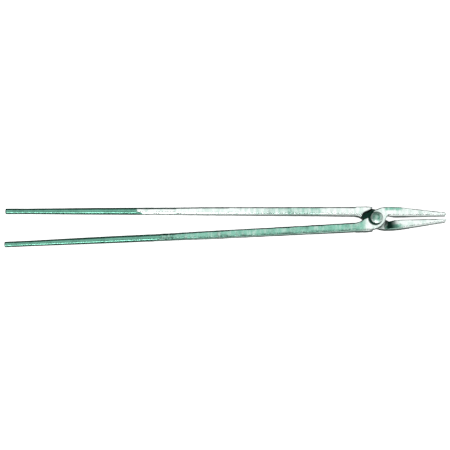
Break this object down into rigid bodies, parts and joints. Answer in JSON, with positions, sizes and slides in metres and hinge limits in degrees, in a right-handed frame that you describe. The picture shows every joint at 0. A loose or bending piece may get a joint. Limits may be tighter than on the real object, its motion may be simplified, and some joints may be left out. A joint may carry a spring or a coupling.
{
  "type": "blacksmith tongs",
  "caption": "Long flat-jaw riveted forge tongs: lapped forgings on a domed rivet, straight tapering jaws and slender round reins.",
  "frame": {"origin": "on the pivot axis, in the flat back face of the rivet's closing head", "axes": "+X towards the jaws along the tongs' centreline, +Y across the reins on the front half's jaw side, +Z out of the front face along the rivet"},
  "size_m": [0.6, 0.0552, 0.0254],
  "materials": {
    "front_forging": "hammered, bright, green-grey cast",
    "back_forging": "hammered, bright on the faces, dark scale in the hollows",
    "front_bar": "drawn round, satin, green-grey cast",
    "back_bar": "drawn round, satin, green-grey cast",
    "rivet": "hammered dome, bright"
  },
  "bodies": {
    "front_half": {"front_jaw_forging": "front_forging", "front_rein_bar": "front_bar", "pivot_rivet": "rivet"},
    "back_half": {"back_jaw_forging": "back_forging", "back_rein_bar": "back_bar"}
  },
  "joints": [
    {"name": "jaw_hinge", "type": "hinge", "parent": "front_half", "child": "back_half", "pos_m": [0, 0, 0.012], "axis": [0, 0, -1], "range_deg": [-3.3, 35]}
  ]
}
